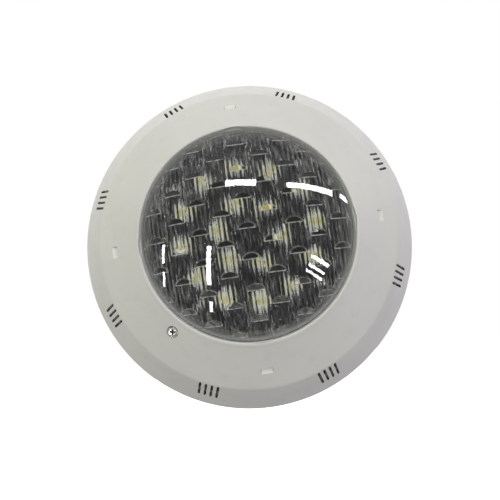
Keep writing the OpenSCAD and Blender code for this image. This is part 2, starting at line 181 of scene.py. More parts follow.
def loft(bm, rings, closed_ring=True):
    """Quads between successive rings of BMesh vertices of equal length."""
    for low, high in zip(rings, rings[1:]):
        count = len(low)
        for i in range(count if closed_ring else count - 1):
            j = (i + 1) % count
            corners = [low[i], low[j], high[j], high[i]]
            distinct = list(dict.fromkeys(corners))
            if len(distinct) > 2:
                bm.faces.new(distinct)


def capped(bm, rings):
    """A closed solid on successive rings."""
    loft(bm, rings)
    bm.faces.new(list(reversed(rings[0])))
    bm.faces.new(rings[-1])


def stack(bm, outline, place, levels):
    """A solid on one outline at several levels. outline(grow) gives its points, grown outwards."""
    capped(bm, [[bm.verts.new(place @ Vector((x, y, level))) for x, y in outline(grow)]
                for level, grow in levels])


def revolve(bm, profile, segments, closed=False, place=on_light):
    """Turns (r, h) points round the axis. A point at r = 0 becomes one vertex."""
    rings = []
    for r, h in profile:
        if r < 1e-7:
            apex = bm.verts.new(place(0, 0, h))
            rings.append([apex] * segments)
            continue
        turns = [2 * math.pi * i / segments for i in range(segments)]
        rings.append([bm.verts.new(place(r, a, h)) for a in turns])
    if closed:
        rings.append(rings[0])
    loft(bm, rings)
    return rings


def boolean(piece, tool, operation="DIFFERENCE"):
    """Applies a boolean to the piece and deletes the tool."""
    step = piece.modifiers.new("cut", "BOOLEAN")
    step.operation = operation
    step.solver = "MANIFOLD"
    step.object = tool
    seen = piece.evaluated_get(bpy.context.evaluated_depsgraph_get())
    mesh = bpy.data.meshes.new_from_object(seen)
    piece.modifiers.clear()
    piece.data = mesh
    bpy.data.objects.remove(tool)


def stand_for(piece, node, body):
    """The piece takes the place of a CAD node and rides on its body."""
    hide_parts(node)
    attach(piece, body)


def read(items, name, width=1, kind=np.float32):
    """One attribute of all of a mesh's items, as an array with width values for each."""
    values = np.zeros(len(items) * width, kind)
    items.foreach_get(name, values)
    return values.reshape(-1, width) if width > 1 else values


def smooth(piece, sharp_degrees=32):
    piece.data.shade_smooth()
    piece.data.set_sharp_from_angle(angle=math.radians(sharp_degrees))


# ---------- cover ring ----------

FACE_SLOPE = math.atan2(FACE_H - CREASE_H, CREASE_R - APERTURE_R)
SIDE_SLOPE = math.atan2(CREASE_H - RIM_EDGE, RING_R - CREASE_R)


def face_height(r):
    """Height of the ring's outer face at radius r."""
    if r < CREASE_R:
        return FACE_H - (r - APERTURE_R) * math.tan(FACE_SLOPE)
    return CREASE_H - (r - CREASE_R) * math.tan(SIDE_SLOPE)


def ring_outside():
    """The outer outline: lip wall, rounded edge, raised bead, gentle face, crease, steep side, foot."""
    nose_round = 0.9 * MM
    bead_r = APERTURE_R + 3.2 * MM
    bead_step = 0.35 * MM
    bead_round = 0.12 * MM
    crease_round = 12 * MM
    foot_round = 0.8 * MM
    edge_round = 0.25 * MM
    edge = (APERTURE_R, FACE_H)
    crease = (CREASE_R, CREASE_H)
    foot = (RING_R, RIM_EDGE)
    below_bead = (bead_r + bead_step, face_height(bead_r + bead_step) - bead_step)
    bead = (bead_r, face_height(bead_r))
    face_start = (bead_r + 4 * bead_step, face_height(bead_r + 4 * bead_step) - bead_step)
    crease_sunk = (CREASE_R, CREASE_H - bead_step)
    path = [Vector((APERTURE_R, LIP_H))]
    path += rounded((APERTURE_R, LIP_H), edge, crease, nose_round)
    path += rounded(edge, bead, below_bead, bead_round, 3)
    path += rounded(bead, below_bead, face_start, bead_round, 3)
    path += rounded(below_bead, crease_sunk, foot, crease_round, 12)
    path += rounded(crease_sunk, foot, (RING_R, 0), foot_round, 4)
    path += rounded(foot, (RING_R, 0), (RING_R - RING_WALL, 0), edge_round, 2)
    return path


def ring_inside():
    """The inner outline, one wall thickness below the outer one, from the foot back to the lip.

    The foot turns in to just clear of the base's edge, so that no light comes through behind the vents.
    """
    n_face = Vector((-math.sin(FACE_SLOPE), -math.cos(FACE_SLOPE)))
    n_side = Vector((-math.sin(SIDE_SLOPE), -math.cos(SIDE_SLOPE)))
    inwards = (n_face + n_side) / (1 + n_face.dot(n_side))
    crease = Vector((CREASE_R, CREASE_H)) + inwards * RING_WALL
    foot_lip_r = BASE_R + 0.5 * MM
    foot_lip_t = 1.2 * MM
    foot_r = RING_R - RING_WALL / math.sin(SIDE_SLOPE)
    foot = Vector((foot_r - foot_lip_t / math.tan(SIDE_SLOPE), foot_lip_t))
    lip_r = APERTURE_R + LIP_T
    lip_top = Vector((lip_r, face_height(lip_r) - RING_WALL / math.cos(FACE_SLOPE)))
    lip_foot = Vector((lip_r, LIP_H))
    crease_round = 9 * MM
    lip_round = 0.8 * MM
    path = [Vector((foot_lip_r, 0)), Vector((foot_lip_r, foot_lip_t)), foot]
    path += rounded(foot, crease, lip_top, crease_round, 8)
    path += rounded(crease, lip_top, lip_foot, lip_round, 3)
    path += [lip_foot]
    return path


def local_frame(r, angle, h, tilt, across=0.0):
    """A frame on the ring: X down the slope, Y round the ring, Z out of the surface."""
    radial = Vector((math.cos(angle), 0, math.sin(angle)))
    round_ring = Vector((-math.sin(angle), 0, math.cos(angle)))
    off_wall = Vector((0, -1, 0))
    down = radial * math.cos(tilt) - off_wall * math.sin(tilt)
    out = radial * math.sin(tilt) + off_wall * math.cos(tilt)
    place = Matrix((down, round_ring, out)).transposed().to_4x4()
    place.translation = radial * r + off_wall * h + round_ring * across
    return place


def flared_tool(bm, outline, place, depth, flare):
    """A prism that cuts a hole with a rounded mouth."""
    above, spread, steps = 2.5 * MM, 0.4, 4
    levels = [(-depth, 0.0), (-flare, 0.0)]
    for i in range(1, steps + 1):
        a = math.pi / 2 * i / steps
        levels.append((-flare + flare * math.sin(a), flare * (1 - math.cos(a))))
    levels.append((above, flare + above * spread))
    stack(bm, outline, place, levels)


def capsule(length, width):
    """Outline of a slot with round ends, as a function of how much it is grown."""
    def outline(grow, steps=8):
        radius = width / 2 + grow
        reach = (length - width) / 2
        points = []
        for end in (1, -1):
            for i in range(steps + 1):
                a = -math.pi / 2 + math.pi * i / steps
                points.append((end * (reach + radius * math.cos(a)), end * radius * math.sin(a)))
        return points
    return outline


def rounded_box(length, width, corner):
    """Outline of a rectangle with round corners, as a function of how much it is grown."""
    def outline(grow, steps=4):
        radius = corner + grow
        points = []
        for sx, sy, start in ((1, 1, 0), (-1, 1, 90), (-1, -1, 180), (1, -1, 270)):
            for i in range(steps + 1):
                a = math.radians(start + 90 * i / steps)
                points.append((sx * (length / 2 - corner) + radius * math.cos(a),
                               sy * (width / 2 - corner) + radius * math.sin(a)))
        return points
    return outline


def disc(radius):
    def outline(grow, steps=48):
        turns = [2 * math.pi * i / steps for i in range(steps)]
        return [((radius + grow) * math.cos(a), (radius + grow) * math.sin(a)) for a in turns]
    return outline


def cut_vents(bm):
    """Slots straight down through the steep side."""
    outline = capsule(VENT_L * math.cos(SIDE_SLOPE), VENT_W)
    for group in range(VENT_GROUPS):
        angle = (group + 0.5) * 2 * math.pi / VENT_GROUPS
        for i in range(VENTS_PER_GROUP):
            across = (i - (VENTS_PER_GROUP - 1) / 2) * VENT_PITCH
            place = local_frame(VENT_R, angle, 0, 0, across)
            stack(bm, outline, place, ((2 * MM, 0), (40 * MM, 0)))


def cut_windows(bm):
    for i in range(4):
        height = face_height(WINDOW_R) - 0.2 * MM
        place = local_frame(WINDOW_R, i * math.pi / 2, height, FACE_SLOPE)
        outline = rounded_box(WINDOW_L / math.cos(FACE_SLOPE), WINDOW_W, 0.5 * MM)
        flared_tool(bm, outline, place, depth=7 * MM, flare=0.4 * MM)


def cut_notches(bm):
    """Shallow scallops in the edge of the opening, each a slice of a large disc."""
    disc_r = NOTCH_W ** 2 / (8 * NOTCH_DEPTH)
    for i in range(4):
        place = local_frame(APERTURE_R + NOTCH_DEPTH - disc_r, i * math.pi / 2, FACE_H, 0)
        flared_tool(bm, disc(disc_r), place, depth=6 * MM, flare=0.3 * MM)


def cut_screw_seat(bm):
    place = local_frame(SCREW_R, SCREW_ANGLE, SEAT_H, 0)
    foot_round = 0.5 * MM
    stack(bm, disc(RECESS_R), place, ((0, -foot_round), (foot_round, 0), (14 * MM, 0)))


def cut_screw_bore(bm):
    place = local_frame(SCREW_R, SCREW_ANGLE, SEAT_H, 0)
    clearance = 0.06 * MM
    stack(bm, disc(SHANK_R + clearance), place, ((-14 * MM, 0), (2 * MM, 0)))


def add_post(bm, r, angle, radius, foot):
    """A round post whose sloping top ends inside the ring's wall."""
    place = local_frame(r, angle, 0, 0)
    low, high = [], []
    for x, y in disc(radius)(0, 40):
        top = face_height(r) - x * math.tan(FACE_SLOPE) - WITHIN_WALL
        low.append(bm.verts.new(place @ Vector((x, y, foot))))
        high.append(bm.verts.new(place @ Vector((x, y, top))))
    capped(bm, [low, high])


def add_rib(bm, angle):
    """A stiffening rib under the crease, with its top inside the moulding's wall."""
    near, far, near_foot, far_foot, half_t = 114 * MM, 139 * MM, 18 * MM, 8 * MM, 0.8 * MM
    outline = [
        (near, face_height(near) - WITHIN_WALL),
        (CREASE_R, CREASE_H - WITHIN_WALL),
        (far, face_height(far) - WITHIN_WALL),
        (far, far_foot),
        (near, near_foot),
    ]
    sides = []
    for across in (-half_t, half_t):
        place = local_frame(0, angle, 0, 0, across)
        sides.append([bm.verts.new(place @ Vector((r, 0, h))) for r, h in outline])
    capped(bm, sides)


def ring_normals(mesh, outline):
    """Gives the ring's outer skin the true normals of its outline, so that cuts leave no shading marks."""
    points = np.array([(p.x, p.y) for p in outline])
    steps = points[1:] - points[:-1]
    lengths = np.linalg.norm(steps, axis=1)
    flat = np.stack([-steps[:, 1], steps[:, 0]], axis=1) / lengths[:, None]
    flat *= np.sign(flat[len(flat) // 2, 1])
    at_points = np.vstack([flat[:1], flat[:-1] + flat[1:], flat[-1:]])
    at_points /= np.linalg.norm(at_points, axis=1)[:, None]

    corner = read(mesh.corner_normals, "vector", 3)
    co = read(mesh.vertices, "co", 3)[read(mesh.loops, "vertex_index", kind=np.int32)]
    radius = np.hypot(co[:, 0], co[:, 2])
    best = np.full(len(co), 1e9)
    wanted = np.zeros((len(co), 2))
    for i, step in enumerate(steps):
        away = np.stack([radius, -co[:, 1]], axis=1) - points[i]
        t = np.clip(away @ step / lengths[i] ** 2, 0, 1)
        gap = np.linalg.norm(away - t[:, None] * step, axis=1)
        nearer = gap < best
        best[nearer] = gap[nearer]
        mixed = at_points[i] * (1 - t[:, None]) + at_points[i + 1] * t[:, None]
        wanted[nearer] = mixed[nearer]
    wanted /= np.linalg.norm(wanted, axis=1)[:, None]
    outwards = wanted[:, 0] / radius
    true = np.stack([outwards * co[:, 0], -wanted[:, 1], outwards * co[:, 2]], axis=1)
    face_normal = read(mesh.polygons, "normal", 3)
    own_face = np.repeat(face_normal, read(mesh.polygons, "loop_total", kind=np.int32), axis=0)
    near_outline, near_normal = 0.02 * MM, 0.93
    skin = (best < near_outline) & ((own_face * true).sum(1) > near_normal)
    corner[skin] = true[skin]
    mesh.normals_split_custom_set(corner.tolist())


def build_ring():
    outside = ring_outside()
    bm = bmesh.new()
    revolve(bm, [(p.x, p.y) for p in outside + ring_inside()], 360, closed=True)
    ring = from_bmesh("ring_cover", bm)

    bm = bmesh.new()
    add_post(bm, SCREW_R, SCREW_ANGLE, BOSS_R, BOSS_FOOT)
    for i in range(4):
        add_post(bm, CLIP_R, math.radians(22.5 + 90 * i), CLIP_POST_R, CLIP_H)
    for i in range(8):
        add_rib(bm, i * math.pi / 4)
    boolean(ring, from_bmesh("bosses", bm), "UNION")

    bm = bmesh.new()
    cut_vents(bm)
    cut_windows(bm)
    cut_notches(bm)
    cut_screw_seat(bm)
    boolean(ring, from_bmesh("cuts", bm))
    bm = bmesh.new()
    cut_screw_bore(bm)
    boolean(ring, from_bmesh("bore", bm))
    smooth(ring)
    ring_normals(ring.data, outside)
    stand_for(ring, "cover_ring", "light_unit")
    return ring


# ---------- lens ----------

DOME_R = (LENS_SIDE_R ** 2 + DOME_RISE ** 2) / (2 * DOME_RISE)
INNER_DOME_R = DOME_R - LENS_WALL
INNER_R = LENS_SIDE_R - LENS_WALL


def dome_height(r, radius=DOME_R):
    centre = DOME_TOP - DOME_R
    return centre + np.sqrt(np.maximum(radius ** 2 - r ** 2, 0))


def smoothstep(x):
    x = np.clip(x, 0, 1)
    return x * x * (3 - 2 * x)


def in_brick(x, z):
    """Where places x, z, seen from the front, lie in the pattern of staggered upright bricks.

    Returns the distance across from the brick's middle line, the height above its foot, and how far
    inside the half-moon at the foot: 1 in the middle of its straight side, 0 on its arc.
    """
    column = np.round(x / BRICK_W)
    across = x - column * BRICK_W
    stagger = np.where(column % 2 == 0, 0.0, BRICK_H / 2)
    along = np.mod(z - stagger, BRICK_H)
    inward = 1 - (2 * across / MOON_W) ** 2 - (along / MOON_H) ** 2
    return across, along, inward


def prism_depth(x, z):
    """How far the pattern stands in from the lens's inside.

    Each brick is a pillow with smooth ribs, and its moon is a wedge that is thickest along its
    straight side. Also returns 1 on the moons and 0 elsewhere.
    """
    pillow_t = 1.1 * MM
    moon_t = 0.95 * MM
    moon_arc_t = 0.35 * MM
    moon_round = 0.12
    rib_t = 0.36 * MM
    ribs_per_brick = 5
    across, along, inward = in_brick(x, z)
    on_moon = smoothstep(inward / moon_round)
    moon = on_moon * (moon_arc_t + (moon_t - moon_arc_t) * np.clip(1 - along / MOON_H, 0, 1))
    ribs = rib_t * np.sin(ribs_per_brick * math.pi * across / BRICK_W) ** 2
    pillow = pillow_t * (1 - (2 * along / BRICK_H - 1) ** 2)
    fade = smoothstep((INNER_R - np.hypot(x, z)) / (3 * MM))
    return (np.maximum(moon, ribs) + pillow) * fade, on_moon


def edge_shine(x, z):
    """How white the prism edges are painted: the moons' straight sides most, their arcs less; painted
    highlights of the light that the edges catch.
    """
    side_w = 0.65 * MM
    arc_w = 0.8 * MM
    across, along, inward = in_brick(x, z)
    # Arcs whiter low down on the lens, and the moons filled there too: painted light where the lower
    # facets catch more of it
    below = smoothstep(0.5 - z / (60 * MM))
    from_foot = np.minimum(along, BRICK_H - along)
    side = smoothstep(1 - from_foot / side_w) * (np.abs(across) < MOON_W / 2)
    from_arc = np.abs(inward) * MOON_H / 2
    arc = smoothstep(1 - from_arc / arc_w) * (along < MOON_H + arc_w) * (0.08 + 0.5 * below)
    fill = (inward > 0) * 0.4 * smoothstep((-z - 20 * MM) / (60 * MM))
    return np.maximum(np.maximum(side, arc), fill)


def disc_grid(radius, step_x, step_z):
    """Rectangular cells that fill a disc, with the border points moved out onto the circle.

    Returns points, quads and the indices of the border points in order of angle.
    """
    nx, nz = math.ceil(radius / step_x), math.ceil(radius / step_z)
    xs = np.arange(-nx, nx + 1) * step_x
    zs = np.arange(-nz, nz + 1) * step_z
    gx, gz = np.meshgrid(xs, zs, indexing="ij")
    inside = np.hypot(gx, gz) < radius - 0.3 * step_x
    cell = inside[:-1, :-1] & inside[1:, :-1] & inside[1:, 1:] & inside[:-1, 1:]
    cells = np.argwhere(cell)
    wide = gx.shape[1]
    corner = cells[:, 0] * wide + cells[:, 1]
    quads = np.stack([corner, corner + wide, corner + wide + 1, corner + 1], axis=1)
    used, flat = np.unique(quads, return_inverse=True)
    quads = flat.reshape(-1, 4)
    points = np.stack([gx.ravel()[used], gz.ravel()[used]], axis=1)
    edges = np.concatenate([quads[:, [i, (i + 1) % 4]] for i in range(4)])
    unique, counts = np.unique(np.sort(edges, axis=1), axis=0, return_counts=True)
    border = np.unique(unique[counts == 1])
    border = border[np.argsort(np.arctan2(points[border, 1], points[border, 0]))]
    points[border] *= (radius / np.hypot(points[border, 0], points[border, 1]))[:, None]
    return points, quads, border


def build_lens():
    """A closed dome: patterned inside, plain outside, both on one grid that shares its border angles."""
    across, along = 40, 54
    points, quads, border = disc_grid(1.0, BRICK_W / across / INNER_R, BRICK_H / along / INNER_R)
    angle = np.arctan2(points[border, 1], points[border, 0])

    on_rim_r = LENS_SIDE_R * 0.96
    on_rim = (on_rim_r, float(dome_height(on_rim_r)))
    corner = (LENS_SIDE_R, DOME_TOP - DOME_RISE)
    shoulder = rounded((LENS_SIDE_R, LIP_H), corner, on_rim, SHOULDER_ROUND, 8)
    outer_r = shoulder[-1].x

    inner = points * INNER_R
    inner_h = dome_height(np.hypot(inner[:, 0], inner[:, 1]), INNER_DOME_R)
    pattern, on_moon = prism_depth(inner[:, 0], inner[:, 1])
    inner_h = inner_h - pattern
    outer = points * outer_r
    outer_h = dome_height(np.hypot(outer[:, 0], outer[:, 1]))

    coords = [np.stack([inner[:, 0], -inner_h, inner[:, 1]], axis=1),
              np.stack([outer[:, 0], -outer_h, outer[:, 1]], axis=1)]
    base = len(points)
    faces = [quads[:, ::-1], quads + base]
    profile = [(INNER_R, JOINT_H), (LAMP_R, JOINT_H), (LAMP_R, LIP_H), (LENS_SIDE_R, LIP_H)]
    profile += [(p.x, p.y) for p in shoulder[:-1]]
    previous = border
    start = 2 * base
    count = len(border)
    strips = []
    for r, h in profile:
        coords.append(np.stack([r * np.cos(angle), np.full(count, -h), r * np.sin(angle)], axis=1))
        strips.append((previous, np.arange(start, start + count)))
        previous = np.arange(start, start + count)
        start += count
    strips.append((previous, border + base))
    for low, high in strips:
        faces.append(np.stack([low, np.roll(low, -1), np.roll(high, -1), high], axis=1))
    mesh = bpy.data.meshes.new("lens_dome")
    mesh.from_pydata(np.concatenate(coords).tolist(), [], np.concatenate(faces).tolist())
    index = np.zeros(len(mesh.polygons), np.int32)
    index[:len(quads)] = 1
    mesh.polygons.foreach_set("material_index", index)
    shine = edge_shine(inner[:, 0], inner[:, 1])
    for name, values in (("moon", on_moon), ("shine", shine)):
        padded = np.zeros(len(mesh.vertices), np.float32)
        padded[:base] = values
        mesh.attributes.new(name, "FLOAT", "POINT").data.foreach_set("value", padded)
    bm = bmesh.new()
    bm.from_mesh(mesh)
    face_outwards(bm)
    bm.to_mesh(mesh)
    bm.free()
    lens = link("lens_dome", mesh)
    smooth(lens, 38)
    stand_for(lens, "lens", "light_unit")
    return lens


# ---------- captive screw ----------

def shade_recess(mesh, profile, centre):
    """Gives the faces that lie inside the head, those of the cross, the second material, the one with
    painted shade.
    """
    edge = [p for p in reversed(profile) if p[1] > SEAT_H + 1 * MM]
    radii, tops = zip(*edge)
    for face in mesh.polygons:
        r = math.hypot(face.center.x - centre.x, face.center.z - centre.z)
        below = float(np.interp(r, radii, tops)) + face.center.y
        inside = r < HEAD_R * 0.8 and below > 0.12 * MM and -face.center.y > SEAT_H + 0.1 * MM
        face.material_index = 1 if inside else 0


def build_screw():
    """A pan-head screw: domed head with a tapered cross, and a real thread on its shank."""
    head_top = SEAT_H + 3.1 * MM
    centre = Vector((SCREW_X, 0, SCREW_Z))

    def place(r, a, h):
        return centre + Vector((r * math.cos(a), -h, r * math.sin(a)))

    bm = bmesh.new()
    edge = 0.3 * MM
    side_top = SEAT_H + 1.1 * MM
    profile = [(0, SEAT_H), (HEAD_R - edge, SEAT_H), (HEAD_R, SEAT_H + edge), (HEAD_R, side_top)]
    for i in range(1, 12):
        a = math.pi / 2 * i / 12
        profile.append((HEAD_R * math.cos(a) ** 0.62, side_top + (head_top - side_top) * math.sin(a)))
    profile.append((0, head_top))
    revolve(bm, profile, 64, place=place)
    screw = from_bmesh("cover_screw", bm)

    for turn in (CROSS_TURN, CROSS_TURN + math.pi / 2):
        bm = bmesh.new()
        rings = []
        for level, length, width in CROSS_LEVELS:
            flat = [turned(Vector(p), turn) for p in rounded_box(length, width, 0.2 * MM)(0)]
            rings.append([bm.verts.new(centre + Vector((p.x, -(head_top + level), p.y))) for p in flat])
        capped(bm, rings)
        boolean(screw, from_bmesh("cross_bar", bm))
    shade_recess(screw.data, profile, centre)

    bm = bmesh.new()
    sides, per_pitch, thread_depth = 24, 6, 0.32 * MM
    length = SEAT_H - SCREW_TIP
    levels = int(length / THREAD_PITCH * per_pitch)
    rings = []
    for level in range(levels + 1):
        h = SCREW_TIP + length * level / levels
        taper = min(1.0, (h - SCREW_TIP) / (1.2 * MM) + 0.6)
        ring = []
        for i in range(sides):
            phase = (h / THREAD_PITCH - i / sides) % 1.0
            r = (SHANK_R - thread_depth * abs(2 * phase - 1)) * taper
            ring.append(bm.verts.new(place(r, 2 * math.pi * i / sides, h)))
        rings.append(ring)
    capped(bm, rings)
    shank = from_bmesh("cover_screw_shank", bm)
    for part in (screw, shank):
        smooth(part, 40)
        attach(part, "cover_screw")
    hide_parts("captive_screw")
    return screw, shank


# ---------- printed lands under the LEDs ----------

def led_places():
    """Radius and angle of each LED: an outer and an inner circle."""
    for radius, count, start in ((54 * MM, 12, 3), (25.5 * MM, 6, 48)):
        for i in range(count):
            yield radius, math.radians(start + i * 360 / count)


def build_lands():
    """The cream lands printed on the board under the LEDs, all the same way up."""
    land_w, land_h, print_t = 11.5 * MM, 12.5 * MM, 0.12 * MM
    board_top = -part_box("led_packages")[1].y
    outline = rounded_box(land_w, land_h, 4 * MM)
    bm = bmesh.new()
    for r, a in led_places():
        place = Matrix.Translation(on_light(r, a, board_top)) @ FRONT.to_4x4()
        stack(bm, outline, place, ((-print_t, 0), (print_t, 0)))
    lands = from_bmesh("led_lands", bm)
    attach(lands, "light_unit")
    return lands


# ---------- supply cable ----------

def build_cable():
    """The cable from inside the gland, bent into the wall outlet."""
    cable_r = cable_high.x
    axis_h = -cable_low.y - cable_r
    outlet_z = cable_low.z + cable_r
    bend_r = 18 * MM
    start_z = cable_high.z
    bend_z = outlet_z + bend_r
    path = [(0, -axis_h, start_z + (bend_z - start_z) * i / 12) for i in range(13)]
    for i in range(1, 17):
        a = math.pi / 2 * i / 16
        path.append((0, -axis_h + bend_r * (1 - math.cos(a)), bend_z - bend_r * math.sin(a)))
    end_y = cable_high.y
    last_y = path[-1][1]
    path += [(0, last_y + (end_y - last_y) * i / 6, outlet_z) for i in range(1, 7)]
    bm = bmesh.new()
    rings = []
    sides = 32
    for i, point in enumerate(path):
        ahead = Vector(path[min(i + 1, len(path) - 1)]) - Vector(path[max(i - 1, 0)])
        ahead.normalize()
        side = Vector((1, 0, 0))
        up = ahead.cross(side)
        ring = []
        for k in range(sides):
            a = 2 * math.pi * k / sides
            ring.append(bm.verts.new(Vector(point) + (side * math.cos(a) + up * math.sin(a)) * cable_r))
        rings.append(ring)
    capped(bm, rings)
    cable = from_bmesh("supply_cable", bm)
    smooth(cable, 50)
    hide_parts("power_cable")
    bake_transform(cable)
    return cable


# ---------- materials ----------

class Nodes:
    """Short calls that build a node tree. A value is a number, a colour or another node's output."""

    def __init__(self, tree):
        self.nodes = tree.nodes
        self.links = tree.links

    def link(self, source, target):
        self.links.new(source, target)

    def feed(self, socket, value):
        if isinstance(value, bpy.types.NodeSocket):
            self.link(value, socket)
        else:
            socket.default_value = value

    def node(self, kind, **inputs):
        node = self.nodes.new("ShaderNode" + kind)
        for name, value in inputs.items():
            self.feed(node.inputs[name.replace("_", " ")], value)
        return node

    def ramp(self, value, low, high, out_low=0.0, out_high=1.0):
        limits = {"From_Min": low, "From_Max": high, "To_Min": out_low, "To_Max": out_high}
        return self.node("MapRange", Value=value, **limits).outputs["Result"]

    def math(self, operation, first, second):
        node = self.node("Math")
        node.operation = operation
        for socket, value in zip(node.inputs, (first, second)):
            self.feed(socket, value)
        return node.outputs["Value"]

    def blend(self, factor, first, second):
        """A mixture of two surfaces."""
        node = self.node("MixShader")
        for socket, source in zip(node.inputs, (factor, first, second)):
            self.link(source, socket)
        return node.outputs[0]


class Shader(Nodes):
    """A material, and what the looks here need in it. Places are in metres on the light."""

    def __init__(self, name):
        self.material = bpy.data.materials.new(name)
        self.material.use_nodes = True
        super().__init__(self.material.node_tree)
        self.bsdf = self.nodes["Principled BSDF"]
        self.output = self.nodes["Material Output"]
        self.place = self.node("TexCoord").outputs["Object"]

    def set(self, **values):
        for key, value in values.items():
            self.bsdf.inputs[key.replace("_", " ")].default_value = value

    def stretched(self, scale):
        return self.node("Mapping", Scale=scale, Vector=self.place).outputs["Vector"]

    def noise(self, size, detail=3.0, rough=0.5, vector=None):
        """Noise between 0 and 1 with features of about that size in metres."""
        vector = vector or self.place
        node = self.node("TexNoise", Scale=1 / size, Detail=detail, Roughness=rough, Vector=vector)
        return node.outputs["Fac"]

    def cells(self, size, feature="F1"):
        """Distances in a pattern of random cells of about that size."""
        node = self.node("TexVoronoi", Scale=1 / size, Vector=self.place)
        node.feature = feature
        return node.outputs["Distance"]

    def mix(self, factor, first, second):
        """A mixture of two colours."""
        node = self.node("Mix")
        node.data_type = "RGBA"
        self.link(factor, node.inputs["Factor"])
        for socket, value in ((node.inputs[6], first), (node.inputs[7], second)):
            self.feed(socket, (*value, 1.0) if isinstance(value, tuple) else value)
        return node.outputs[2]

    def bump(self, height, depth, strength=1.0, below=None):
        node = self.node("Bump", Distance=depth, Strength=strength, Height=height)
        if below is not None:
            self.link(below, node.inputs["Normal"])
        return node.outputs["Normal"]

    def radius(self):
        """Distance from the light's axis."""
        node = self.node("VectorMath", Vector=self.stretched((1, 0, 1)))
        node.operation = "LENGTH"
        return node.outputs["Value"]

    def attribute(self, name):
        node = self.node("Attribute")
        node.attribute_name = name
        return node.outputs["Fac"]

    def soft_edges(self, radius):
        return self.node("Bevel", Radius=radius).outputs["Normal"]

    def finish(self, colour, roughness=None, normal=None):
        for name, source in (("Base Color", colour), ("Roughness", roughness), ("Normal", normal)):
            if source is not None:
                self.link(source, self.bsdf.inputs[name])
        return self.material


def scaled(colour, by):
    return tuple(min(1.0, c * by) for c in colour)


def plastic(name, colour, gloss=0.45, grain=0.25 * MM, grain_depth=0.02 * MM, edge=0.3 * MM):
    """Moulded plastic: fine grain, faint clouding, soft edges."""
    s = Shader(name)
    cloud = s.noise(30 * MM, 4)
    speck = s.noise(1.5 * MM, 2)
    tone = s.mix(cloud, scaled(colour, 0.90), scaled(colour, 1.06))
    tone = s.mix(s.ramp(speck, 0.45, 0.75, 0, 0.25), tone, scaled(colour, 0.8))
    rough = s.ramp(s.noise(8 * MM, 5), 0.3, 0.7, gloss - 0.06, gloss + 0.1)
    normal = s.bump(s.noise(grain, 2), grain_depth, 0.6, s.soft_edges(edge))
    return s.finish(tone, rough, normal)


def metal(name, colour, roughness=0.3, stretch=(1, 1, 1), edge=0.15 * MM, bare=1.0):
    """Metal with fine drawn or turned marks and slight staining. A dull coat makes it less than bare."""
    s = Shader(name)
    s.set(Metallic=bare)
    marks = s.noise(0.3 * MM, 3, vector=s.stretched(stretch))
    stain = s.noise(4 * MM, 4)
    tone = s.mix(s.ramp(stain, 0.35, 0.7), scaled(colour, 1.05), scaled(colour, 0.72))
    rough = s.ramp(marks, 0.3, 0.7, roughness - 0.08, roughness + 0.14)
    normal = s.bump(marks, 0.01 * MM, 0.7, s.soft_edges(edge))
    return s.finish(tone, rough, normal)


def cross_painted_shade():
    """The inside of the screw's cross, darkened with painted shade."""
    s = Shader("screw_cross_painted_shade")
    s.set(Metallic=0.6)
    shade_mottle = s.noise(0.6 * MM, 3)
    # Near-black tones: painted shade in the cross of the screw's head
    tone = s.mix(shade_mottle, (0.03, 0.03, 0.028), (0.12, 0.115, 0.10))
    return s.finish(tone, s.ramp(shade_mottle, 0.3, 0.7, 0.5, 0.8), s.bump(shade_mottle, 0.02 * MM, 0.5))


def rubber(name, colour, roughness=0.62):
    s = Shader(name)
    dust = s.noise(3 * MM, 5)
    tone = s.mix(s.ramp(dust, 0.4, 0.8), colour, tuple(c + 0.05 for c in colour))
    rough = s.ramp(s.noise(1 * MM, 3), 0.3, 0.7, roughness - 0.1, roughness + 0.15)
    normal = s.bump(s.noise(0.4 * MM, 3), 0.03 * MM, 0.6, s.soft_edges(0.2 * MM))
    return s.finish(tone, rough, normal)


def ring_plastic():
    """Gloss-moulded white ABS with a faint orange peel, clouding and a few dark moulding specks."""
    s = Shader("ring_plastic")
    colour = (0.735, 0.735, 0.715)
    cloud = s.noise(60 * MM, 3)
    tone = s.mix(s.ramp(cloud, 0.3, 0.7), scaled(colour, 0.96), scaled(colour, 1.03))
    smudge = s.noise(14 * MM, 6, 0.6)
    tone = s.mix(s.ramp(smudge, 0.52, 0.8, 0, 0.35), tone, (0.60, 0.60, 0.575))
    speck = s.ramp(s.cells(5 * MM), 0.035, 0.02, 0, 0.35)
    tone = s.mix(speck, tone, (0.25, 0.24, 0.22))
    rough = s.ramp(s.noise(10 * MM, 5), 0.3, 0.7, 0.28, 0.42)
    peel = s.bump(s.noise(1.6 * MM, 2), 0.02 * MM, 0.35)
    s.set(Specular_IOR_Level=0.12)
    return s.finish(tone, rough, peel)


def open_to_light(s, surface, tint):
    """Lets light and shadow rays pass straight through a clear surface, so that what is inside is lit."""
    passing = s.node("BsdfTransparent", Color=(*tint, 1))
    path = s.node("LightPath")
    pick = s.math("MAXIMUM", path.outputs["Is Shadow Ray"], path.outputs["Is Diffuse Ray"])
    s.link(s.blend(pick, surface, passing.outputs[0]), s.output.inputs["Surface"])
    return s.material


def clear_glass(s, ior):
    """A glass surface in place of the plain one, as a node."""
    s.nodes.remove(s.bsdf)
    return s.node("BsdfGlass", IOR=ior)


def scatter_and_painted_reflection(s):
    """A white diffuse layer in clear plastic: bubbles, and painted reflection where it draws streaks, edge
    lines and the band at the rim.
    """
    return s.node("BsdfDiffuse", Color=(0.80, 0.80, 0.77, 1)).outputs[0]


